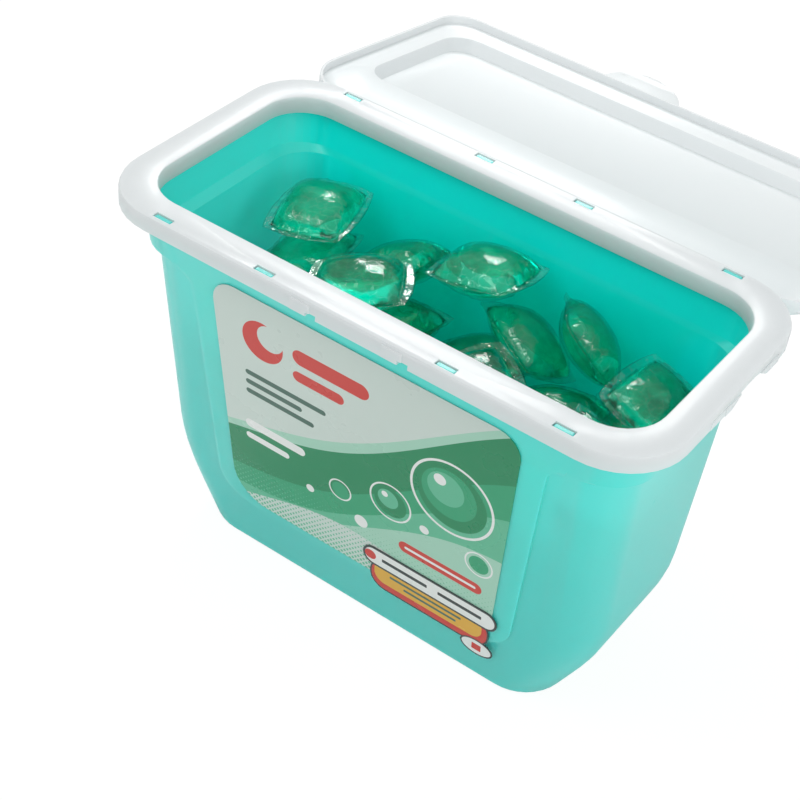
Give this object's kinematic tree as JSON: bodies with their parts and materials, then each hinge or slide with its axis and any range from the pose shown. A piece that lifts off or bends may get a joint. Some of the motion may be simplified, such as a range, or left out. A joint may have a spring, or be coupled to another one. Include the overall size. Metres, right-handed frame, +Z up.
{
  "type": "laundry pod tub",
  "caption": "Tapered plastic tub with a clipped collar, a hinged lid lying open and a heap of film-wrapped laundry pods inside.",
  "frame": {"origin": "middle of the tub's flat base", "axes": "+Z up, +Y towards the hinge at the back, +X to the right as seen from the front"},
  "size_m": [0.2148, 0.2339, 0.145],
  "materials": {
    "tub": "translucent turquoise, satin",
    "collar": "satin white",
    "lid": "satin white",
    "label": "printed film",
    "sticker": "printed film",
    "gel": "clear green gel in crinkled film"
  },
  "bodies": {
    "tub": {"tub": "tub", "collar": "collar", "front_label": "label", "sticker": "sticker", "pod_01": "gel", "pod_02": "gel", "pod_03": "gel", "pod_04": "gel", "pod_05": "gel", "pod_06": "gel", "pod_07": "gel", "pod_08": "gel", "pod_09": "gel", "pod_10": "gel", "pod_11": "gel", "pod_12": "gel", "pod_13": "gel", "pod_14": "gel", "pod_15": "gel", "pod_16": "gel", "pod_17": "gel", "pod_18": "gel", "pod_19": "gel", "pod_20": "gel", "pod_21": "gel", "pod_22": "gel", "pod_23": "gel", "pod_24": "gel", "pod_25": "gel", "pod_26": "gel", "pod_27": "gel", "pod_28": "gel", "pod_29": "gel", "pod_30": "gel", "pod_31": "gel", "pod_32": "gel", "pod_33": "gel", "pod_34": "gel", "pod_35": "gel", "pod_36": "gel", "pod_37": "gel", "pod_38": "gel", "pod_39": "gel", "pod_40": "gel", "pod_41": "gel", "pod_42": "gel", "pod_43": "gel", "pod_44": "gel", "pod_45": "gel", "pod_46": "gel", "pod_47": "gel", "pod_48": "gel", "pod_49": "gel", "pod_50": "gel", "pod_51": "gel", "pod_52": "gel"},
    "lid": {"lid": "lid"}
  },
  "joints": [
    {"name": "lid_hinge", "type": "hinge", "parent": "tub", "child": "lid", "pos_m": [0, 0.0554, 0.141], "axis": [1, 0, 0], "range_deg": [0, 188.4]}
  ]
}
